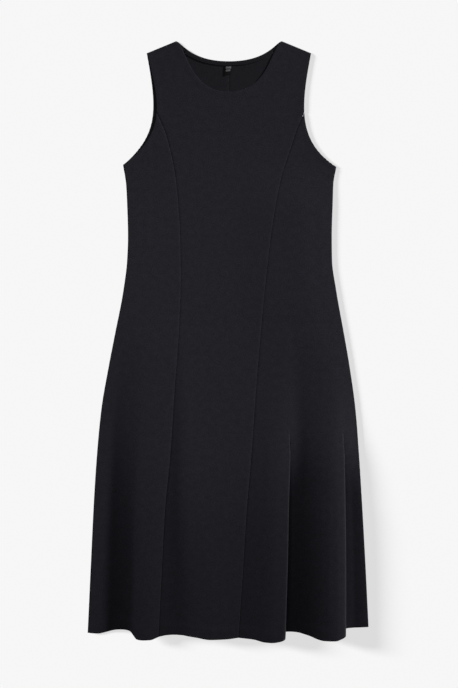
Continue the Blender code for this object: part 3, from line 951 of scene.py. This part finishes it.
def front_side_panel(side):
    """The front side panel on the side given by -1 or 1, with its outline."""
    if side < 0:
        panel = Panel(
            front_right_outline, lapped(right_princess, SEAM_LAP), FOLDS_SIDE_RIGHT, front_height, SEAM_TOP,
            lean=FOLD_LEAN_RIGHT,
        )
        underarm = UNDERARM_RIGHT[1]
    else:
        panel = Panel(
            lapped(left_princess, -SEAM_LAP), left_outline, FOLDS_SIDE_LEFT, front_height, SEAM_TOP,
            high=FOLDS_SIDE_LEFT_HIGH, lean=FOLD_LEAN_LEFT, roll=ROLL_SIDE_LEFT, lips=LIPS_SIDE_LEFT,
        )
        underarm = UNDERARM_LEFT[1]
    tip = SEAM_TOP + TIP_CUT
    outer_share, inner_share = (0.0, 1.0) if side < 0 else (1.0, 0.0)
    across = np.linspace(outer_share, inner_share, 300)
    seam = "seam_right" if side < 0 else "seam_left"
    edges = [
        Edge("armhole", np.linspace(inner_share, outer_share, 3), tip),
        Edge("armhole", outer_share, np.linspace(tip, underarm, 60)),
        Edge("side", outer_share, np.linspace(underarm, float(panel.hem(outer_share)), 400)),
        Edge("hem", across, panel.hem(across)),
        Edge(seam, inner_share, np.linspace(float(panel.hem(inner_share)), tip, 400)),
    ]
    return panel, edges


def back_panel(side):
    """The back panel on the side given by -1 or 1, with its outline."""

    def centre(drop):
        return 0.0 * drop

    if side < 0:
        panel = Panel(right_outline, centre, FOLDS_BACK_RIGHT, back_height, 0.0, mirrored=True)
        outer_share, centre_share, underarm = 0.0, 1.0, UNDERARM_RIGHT[1]
    else:
        panel = Panel(centre, back_left_outline, FOLDS_BACK_LEFT, back_height, 0.0)
        outer_share, centre_share, underarm = 1.0, 0.0, UNDERARM_LEFT[1]
    neck = bezier(BACK_NECK, np.linspace(0.0, 1.0, 60))
    corner = float(panel.share_of(side * NECK_HALF, 0.0))
    edges = [
        Edge("neck", panel.share_of(side * neck[:, 0], neck[:, 1]), neck[:, 1]),
        Edge("shoulder", np.linspace(corner, outer_share, 20), np.linspace(0.0, SHOULDER_DROP, 20)),
        Edge("armhole", outer_share, np.linspace(SHOULDER_DROP, underarm, 80)),
        Edge("side", outer_share, np.linspace(underarm, BACK_HEM_DROP, 400)),
        Edge("hem", np.linspace(outer_share, centre_share, 300), BACK_HEM_DROP),
        Edge("centre", centre_share, np.linspace(BACK_HEM_DROP, BACK_NECK_DEPTH, 400)),
    ]
    return panel, edges


def back_relief(away, drop):
    """Relief of a back panel: a turned hem, and a ditch along the centre back seam."""
    return turned_edge(away["hem"], *TURNED_BACK_HEM) + seam_ditch(away["centre"], *CENTRE_BACK_DITCH)


def binding_strip(name, thickness):
    """The binding round the back neck: a flat folded band, rounded at its edges, sewn near its lower one."""
    reach = np.linspace(-BINDING_REACH, BINDING_REACH, BINDING_POINTS)
    side = np.where(reach < 0.0, -1.0, 1.0)
    along = np.abs(reach)
    spine = bezier(BACK_NECK, along)
    beside = 0.01
    run = bezier(BACK_NECK, along + beside) - bezier(BACK_NECK, along - beside)
    inward = np.stack((-run[:, 1], run[:, 0]), -1) / np.hypot(*run.T)[:, None]
    steps = np.diff(spine * np.stack((side, side * side), -1), axis=0)
    length = np.concatenate(([0.0], np.hypot(*steps.T).cumsum()))
    waver = BINDING_WIDTH_CHANGE * (gentle_wave(length, BINDING_WAVE_PHASE) - 1.0) / WAVE_RANGE
    width = (BINDING_WIDTH - GAP) * (1.0 + waver)
    points, ground = [], []
    for over, up in BINDING_SECTION:
        place = spine + (GAP + over * width)[:, None] * inward
        upper_side = up > 0.5
        puffed = 1.0 + BINDING_PUFF * np.sin(length / BINDING_PUFF_LENGTH + 4.0 * over) * upper_side
        height = FRONT_LAYER + up * thickness * puffed
        points.append(np.stack((side * place[:, 0], LENGTH / 2.0 - place[:, 1], height), -1))
        ground.append(np.stack((length, over * width + (0.0 if up else BINDING_UNDERSIDE)), -1))
    count, turns = len(reach), len(BINDING_SECTION)
    points = np.stack(points, 1).reshape(-1, 3)
    ground = np.stack(ground, 1).reshape(-1, 2)
    faces = []
    for i in range(count - 1):
        for j in range(turns):
            k = (j + 1) % turns
            faces.append((i * turns + j, i * turns + k, (i + 1) * turns + k, (i + 1) * turns + j))
    faces.append(tuple(reversed(range(turns))))
    faces.append(tuple((count - 1) * turns + j for j in range(turns)))
    mesh = mesh_on_cloth(name, points, faces, ground)
    shell = bmesh.new()
    shell.from_mesh(mesh)
    bmesh.ops.recalc_face_normals(shell, faces=shell.faces)
    shell.to_mesh(mesh)
    shell.free()
    mesh.shade_smooth()
    return finished_piece(name, mesh)


def ribbon_moves(step):
    """Moves that draw out the ribbon's end: down, round a half turn, and back up with a slight belly."""
    moves = [(0.0, -step, 0.0)] * (LABEL_STEPS - 2)
    half_turn = [math.pi * k / LABEL_TURN_STEPS for k in range(LABEL_TURN_STEPS + 1)]
    for a, b in zip(half_turn, half_turn[1:]):
        rise = LABEL_GAP / 2.0 * (math.cos(a) - math.cos(b))
        moves.append((0.0, -step * (math.sin(b) - math.sin(a)), rise))
    last = LABEL_STEPS - 1
    belly = [LABEL_GAP * LABEL_BELLY * math.sin(math.pi * k / last) for k in range(LABEL_STEPS)]
    return moves + [(0.0, step, b - a) for a, b in zip(belly, belly[1:])]


def label_loop(name, thickness):
    """The loop label: a ribbon that runs down from the binding, turns over in a round fold and comes back."""
    step = LABEL_LENGTH / LABEL_STEPS
    place = LABEL_X, LABEL_TOP - step / 2.0, FRONT_LAYER + thickness / 2.0
    bpy.ops.object.select_all(action="DESELECT")
    bpy.ops.mesh.primitive_plane_add(size=1.0, location=place)
    piece = bpy.context.object
    piece.name = name
    bpy.ops.object.mode_set(mode="EDIT")
    bpy.ops.transform.resize(value=(LABEL_WIDTH, step, 1.0))
    bpy.ops.mesh.select_mode(type="EDGE")
    bpy.ops.mesh.select_all(action="DESELECT")
    bpy.ops.object.mode_set(mode="OBJECT")
    lowest = min(vert.co.y for vert in piece.data.vertices)
    for edge in piece.data.edges:
        edge.select = all(abs(piece.data.vertices[i].co.y - lowest) < 1e-5 for i in edge.vertices)
    bpy.ops.object.mode_set(mode="EDIT")
    for move in ribbon_moves(step):
        bpy.ops.mesh.extrude_region_move(TRANSFORM_OT_translate={"value": move})
    bpy.ops.mesh.select_all(action="SELECT")
    bpy.ops.mesh.normals_make_consistent(inside=False)
    bpy.ops.object.mode_set(mode="OBJECT")
    for vert in piece.data.vertices:
        down = LABEL_TOP - vert.co.y - piece.location.y
        vert.co.y += LABEL_SLANT * vert.co.x * (down / LABEL_LENGTH) ** 2
        vert.co.x -= LABEL_TILT * down
    bpy.ops.object.transform_apply(location=True, rotation=True, scale=True)
    solid = piece.modifiers.new("Ribbon", "SOLIDIFY")
    solid.thickness = thickness
    solid.offset = 0.0
    bpy.ops.object.modifier_apply(modifier=solid.name)
    bevel = piece.modifiers.new("Edges", "BEVEL")
    bevel.width = thickness * 0.3
    bevel.segments = 2
    bevel.limit_method = "ANGLE"
    bpy.ops.object.modifier_apply(modifier=bevel.name)
    bpy.ops.object.shade_smooth_by_angle(angle=math.radians(40))
    return piece


def math_node(tree, operation, first, second=None):
    """The socket of a new math node that works on one or two values or sockets."""
    node = tree.nodes.new("ShaderNodeMath")
    node.operation = operation
    for socket, value in zip(node.inputs, (first, second)):
        if isinstance(value, bpy.types.NodeSocket):
            tree.links.new(value, socket)
        elif value is not None:
            socket.default_value = value
    return node.outputs[0]


def new_material(name, roughness, highlight):
    """A material with its node tree and its shader, given how rough it is and how strong its highlight."""
    material = bpy.data.materials.new(name)
    material.use_nodes = True
    shader = material.node_tree.nodes["Principled BSDF"]
    shader.inputs["Roughness"].default_value = roughness
    shader.inputs["Specular IOR Level"].default_value = highlight
    return material, material.node_tree, shader


def mixed(tree, parts):
    """The sum of several sockets, each at its own strength."""
    total = None
    for part, strength in parts:
        scaled = math_node(tree, "MULTIPLY", part, strength)
        total = scaled if total is None else math_node(tree, "ADD", total, scaled)
    return total


def wave(tree, at, pitch):
    """A cosine of a socket, with one wave to each pitch."""
    return math_node(tree, "COSINE", math_node(tree, "MULTIPLY", at, math.tau / pitch))


def bump(tree, height, distance, strength, normal=None):
    """A bump from a height, laid over another bump's normal where one is given."""
    node = tree.nodes.new("ShaderNodeBump")
    node.inputs["Distance"].default_value = distance
    node.inputs["Strength"].default_value = strength
    tree.links.new(height, node.inputs["Height"])
    if normal is not None:
        tree.links.new(normal, node.inputs["Normal"])
    return node.outputs[0]


def noise(tree, place, scale):
    """Noise over the cloth, with a number of grains to the metre."""
    texture = tree.nodes.new("ShaderNodeTexNoise")
    texture.inputs["Scale"].default_value = scale
    texture.inputs["Detail"].default_value = 2.0
    tree.links.new(place, texture.inputs["Vector"])
    return texture.outputs[0]


def stitches(tree, place, cloth):
    """Height of the knit: two ridges to each wale, which slant down from its middle once a course."""
    split = tree.nodes.new("ShaderNodeSeparateXYZ")
    tree.links.new(place, split.inputs[0])
    column = math_node(tree, "FRACT", math_node(tree, "DIVIDE", split.outputs[0], cloth.wale))
    beside = math_node(tree, "ABSOLUTE", math_node(tree, "SUBTRACT", column, 0.5))
    leg = wave(tree, math_node(tree, "SUBTRACT", beside, 0.25), 1.0)
    row = math_node(tree, "DIVIDE", split.outputs[1], cloth.course)
    slanted = math_node(tree, "ADD", row, math_node(tree, "MULTIPLY", beside, STITCH_SLANT))
    bow = math_node(tree, "MULTIPLY", wave(tree, slanted, 1.0), STITCH_BOW)
    return math_node(tree, "MULTIPLY", leg, math_node(tree, "ADD", bow, 1.0 - STITCH_BOW))


def knit_material(name, colour, cloth):
    """A dense, matt double knit: columns of small slanted stitches, pebbled and slightly uneven in tone, with
    painted shade between the stitches.
    """
    material, tree, shader = new_material(name, roughness=0.75, highlight=0.12)
    shader.inputs["Sheen Weight"].default_value = cloth.sheen
    shader.inputs["Sheen Roughness"].default_value = 0.5
    shader.inputs["Sheen Tint"].default_value = (0.9, 0.9, 1.0, 1.0)

    place = tree.nodes.new("ShaderNodeUVMap")
    place.uv_map = "Cloth"
    stitch = stitches(tree, place.outputs[0], cloth)
    grain = noise(tree, place.outputs[0], 420.0)
    cloud = noise(tree, place.outputs[0], 90.0)
    # Tone of the colour: random grain and cloud, plus painted shade from the stitches' height, darker between
    # their ridges and lighter on them.
    shade = mixed(tree, ((grain, 0.7), (cloud, 0.3), (stitch, 0.05)))
    ramp = tree.nodes.new("ShaderNodeMapRange")
    tree.links.new(shade, ramp.inputs["Value"])
    ramp.inputs["From Min"].default_value = 0.35
    ramp.inputs["From Max"].default_value = 0.68
    ramp.inputs["To Min"].default_value = 0.62
    ramp.inputs["To Max"].default_value = 1.38
    tint = tree.nodes.new("ShaderNodeVectorMath")
    tint.operation = "SCALE"
    tint.inputs[0].default_value = colour
    tree.links.new(ramp.outputs[0], tint.inputs["Scale"])
    tree.links.new(tint.outputs[0], shader.inputs["Base Color"])

    fine = bump(tree, stitch, 0.00012, 0.25)
    pebbled = bump(tree, grain, 0.0004, 0.4, normal=fine)
    tree.links.new(pebbled, shader.inputs["Normal"])
    return material


def bar_mask(tree, across, down, middle, size):
    """1 inside a bar of the label, given its middle and its size, and 0 outside it."""
    inside = None
    for at, centre, length in zip((across, down), middle, size):
        away = math_node(tree, "ABSOLUTE", math_node(tree, "SUBTRACT", at, centre))
        part = math_node(tree, "LESS_THAN", away, length / 2.0)
        inside = part if inside is None else math_node(tree, "MULTIPLY", inside, part)
    return inside


def ribbon_material(cloth):
    """A satin ribbon with two plain bars woven into it."""
    material, tree, shader = new_material("Woven ribbon", roughness=0.55, highlight=0.14)
    place = tree.nodes.new("ShaderNodeTexCoord")
    split = tree.nodes.new("ShaderNodeSeparateXYZ")
    tree.links.new(place.outputs["Object"], split.inputs[0])
    down = math_node(tree, "SUBTRACT", LABEL_TOP, split.outputs[1])
    across = math_node(tree, "SUBTRACT", split.outputs[0], LABEL_X)
    across = math_node(tree, "ADD", across, math_node(tree, "MULTIPLY", down, LABEL_TILT))
    curve = math_node(tree, "POWER", math_node(tree, "DIVIDE", down, LABEL_LENGTH), 2.0)
    slant = math_node(tree, "MULTIPLY", curve, LABEL_SLANT)
    down = math_node(tree, "ADD", down, math_node(tree, "MULTIPLY", slant, across))
    upper, lower = (bar_mask(tree, across, down, *bar) for bar in LABEL_BARS)
    faces_up = math_node(tree, "GREATER_THAN", split.outputs[2], FRONT_LAYER + LABEL_FACE_HEIGHT)
    bars = math_node(tree, "MULTIPLY", math_node(tree, "MAXIMUM", upper, lower), faces_up)
    crossing = math_node(tree, "MULTIPLY", wave(tree, down, WEFT_PITCH), wave(tree, across, WARP_PITCH))
    weave = math_node(tree, "MULTIPLY", math_node(tree, "ADD", crossing, 1.0), 0.5)
    thread = math_node(tree, "ADD", math_node(tree, "MULTIPLY", weave, THREAD_TEXTURE), 1.0 - THREAD_TEXTURE)
    blend = tree.nodes.new("ShaderNodeMix")
    blend.data_type = "RGBA"
    tree.links.new(math_node(tree, "MULTIPLY", bars, thread), blend.inputs["Factor"])
    blend.inputs[6].default_value = (*cloth.ribbon_colour, 1.0)
    blend.inputs[7].default_value = (*cloth.thread_colour, 1.0)
    tree.links.new(blend.outputs[2], shader.inputs["Base Color"])
    tree.links.new(bump(tree, weave, 0.00005, 0.5), shader.inputs["Normal"])
    return material


class DRESS_OT_binding(bpy.types.Operator):
    """Makes the binding inside the back neck"""

    bl_idname = "dress.binding"
    bl_label = "Back neck binding"

    def execute(self, context):
        cloth = context.scene.dress_cloth
        piece = binding_strip("back_neck_binding_band", cloth.binding_thickness)
        # The binding gets the inside's darker colour, which holds painted shade.
        piece.data.materials.append(knit_material("Knit, binding with painted shade", cloth.inside_colour_with_shade, cloth))
        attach(piece, "root")
        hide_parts("back_neck_binding")
        return {"FINISHED"}


class DRESS_OT_label(bpy.types.Operator):
    """Makes the folded loop label under the binding, with two plain woven bars and no lettering"""

    bl_idname = "dress.label"
    bl_label = "Loop label"

    def execute(self, context):
        cloth = context.scene.dress_cloth
        piece = label_loop("loop_label", cloth.ribbon_thickness)
        piece.data.materials.append(ribbon_material(cloth))
        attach(piece, "root")
        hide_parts("label")
        return {"FINISHED"}


class DRESS_OT_back(bpy.types.Operator):
    """Makes the two back panels and lays them on the floor"""

    bl_idname = "dress.back"
    bl_label = "Back panels"

    def execute(self, context):
        cloth = context.scene.dress_cloth
        # The back panels get the inside's darker colour, which holds painted shade.
        knit = knit_material("Knit, inside with painted shade", cloth.inside_colour_with_shade, cloth)
        sewn_on = [bpy.data.objects["back_neck_binding_band"], bpy.data.objects["loop_label"]]
        for node, side, with_pieces in (("back_right", -1, []), ("back_left", 1, sewn_on)):
            panel, edges = back_panel(side)
            name = node + "_cloth"
            piece, size, area = cloth_piece(name, panel, edges, BACK_RIMS, back_relief, cloth, knit)
            declare(piece, node)
        return {"FINISHED"}


class DRESS_OT_front(bpy.types.Operator):
    """Makes the three front panels, with their princess seams, and lays them on the back"""

    bl_idname = "dress.front"
    bl_label = "Front panels"

    def execute(self, context):
        cloth = context.scene.dress_cloth
        knit = knit_material("Knit, face", cloth.face_colour, cloth)
        made = (
            ("front_side_right", *front_side_panel(-1)),
            ("front_centre", *front_centre_panel()),
            ("front_side_left", *front_side_panel(1)),
        )
        for node, panel, edges in made:
            name = node + "_cloth"
            piece, size, area = cloth_piece(name, panel, edges, FRONT_RIMS, front_relief, cloth, knit)
            declare(piece, node)
        return {"FINISHED"}


class DRESS_OT_stage(bpy.types.Operator):
    """Makes the pale floor, the soft lights and the camera above the dress"""

    bl_idname = "dress.stage"
    bl_label = "Floor, lights and camera"

    def execute(self, context):
        stage = context.scene.dress_stage
        bpy.ops.object.select_all(action="DESELECT")
        bpy.ops.mesh.primitive_plane_add(size=FLOOR_SIZE, location=(0.0, 0.0, -FLOOR_SINK))
        floor = context.object
        floor.name = "floor"
        floor.data.materials.append(floor_material(stage))
        bpy.ops.object.transform_apply(location=True, rotation=True, scale=True)
        add_lights(stage, floor)
        add_camera(stage)
        return {"FINISHED"}


def floor_material(stage):
    """A pale, matt floor that gives off most of its tone by itself."""
    material, _, shader = new_material("Pale floor", roughness=0.9, highlight=0.0)
    shader.inputs["Base Color"].default_value = (0.25, 0.25, 0.25, 1.0)
    shader.inputs["Emission Color"].default_value = (1.0, 1.0, 1.0, 1.0)
    shader.inputs["Emission Strength"].default_value = stage.floor_tone
    return material


def soft_light(name, place, size, power, lit):
    """A soft light that falls on some objects only, as flags and grids make it do in a studio."""
    bpy.ops.object.light_add(type="AREA", location=place)
    light = bpy.context.object
    light.name = name
    light.visible_camera = False
    light.data.size = size
    light.data.energy = power
    light.light_linking.receiver_collection = lit
    return light


def add_lights(stage, floor):
    """A low key light and a top light for the dress, a low sun for the floor, and faint light all round."""
    world = bpy.data.worlds.new("Studio air")
    bpy.context.scene.world = world
    world.use_nodes = True
    background = world.node_tree.nodes["Background"]
    background.inputs["Color"].default_value = (1.0, 1.0, 1.0, 1.0)
    background.inputs["Strength"].default_value = stage.ambient

    dress = bpy.data.collections.new("Dress")
    for thing in bpy.context.scene.objects:
        if thing.type == "MESH" and thing is not floor:
            dress.objects.link(thing)
    below = bpy.data.collections.new("Floor")
    below.objects.link(floor)

    key = soft_light("Key light", KEY_PLACE, KEY_SIZE, stage.key_power, dress)
    key.rotation_euler = (Vector(KEY_AIM) - key.location).to_track_quat("-Z", "Y").to_euler()
    soft_light("Top light", TOP_PLACE, TOP_SIZE, stage.top_power, dress)

    bpy.ops.object.light_add(type="SUN", location=WASH_PLACE)
    wash = bpy.context.object
    wash.name = "Floor wash"
    wash.data.energy = stage.wash
    wash.data.angle = WASH_ANGLE
    wash.rotation_euler = Vector(WASH_DIRECTION).to_track_quat("-Z", "Y").to_euler()
    wash.light_linking.receiver_collection = below


def add_camera(stage):
    """A camera straight above the dress, as wide as the view asks at its height."""
    place = *CAMERA_CENTRE, stage.camera_height
    bpy.ops.object.camera_add(location=place, rotation=(0.0, 0.0, 0.0))
    camera = bpy.context.object
    camera.name = "Camera above the dress"
    camera.data.lens = camera.data.sensor_width * stage.camera_height / stage.view_length
    bpy.context.scene.camera = camera
    bpy.context.scene.view_settings.view_transform = "Standard"


class DRESS_PT_panel(bpy.types.Panel):
    """Lists the steps that make the dress"""

    bl_label = "A-line knit dress"
    bl_idname = "DRESS_PT_panel"
    bl_space_type = "VIEW_3D"
    bl_region_type = "UI"
    bl_category = "Dress"

    def draw(self, context):
        for operator in OPERATORS:
            self.layout.operator(operator.bl_idname)


OPERATORS = (DRESS_OT_binding, DRESS_OT_label, DRESS_OT_back, DRESS_OT_front, DRESS_OT_stage)
CLASSES = (DressCloth, DressStage, *OPERATORS, DRESS_PT_panel)


def register():
    for cls in CLASSES:
        bpy.utils.register_class(cls)
    bpy.types.Scene.dress_cloth = PointerProperty(type=DressCloth)
    bpy.types.Scene.dress_stage = PointerProperty(type=DressStage)


def unregister():
    del bpy.types.Scene.dress_stage
    del bpy.types.Scene.dress_cloth
    for cls in reversed(CLASSES):
        bpy.utils.unregister_class(cls)


def main():
    register()
    bpy.ops.dress.binding()
    bpy.ops.dress.label()
    bpy.ops.dress.back()
    bpy.ops.dress.front()
    bpy.ops.dress.stage()


if __name__ == "__main__":
    main()
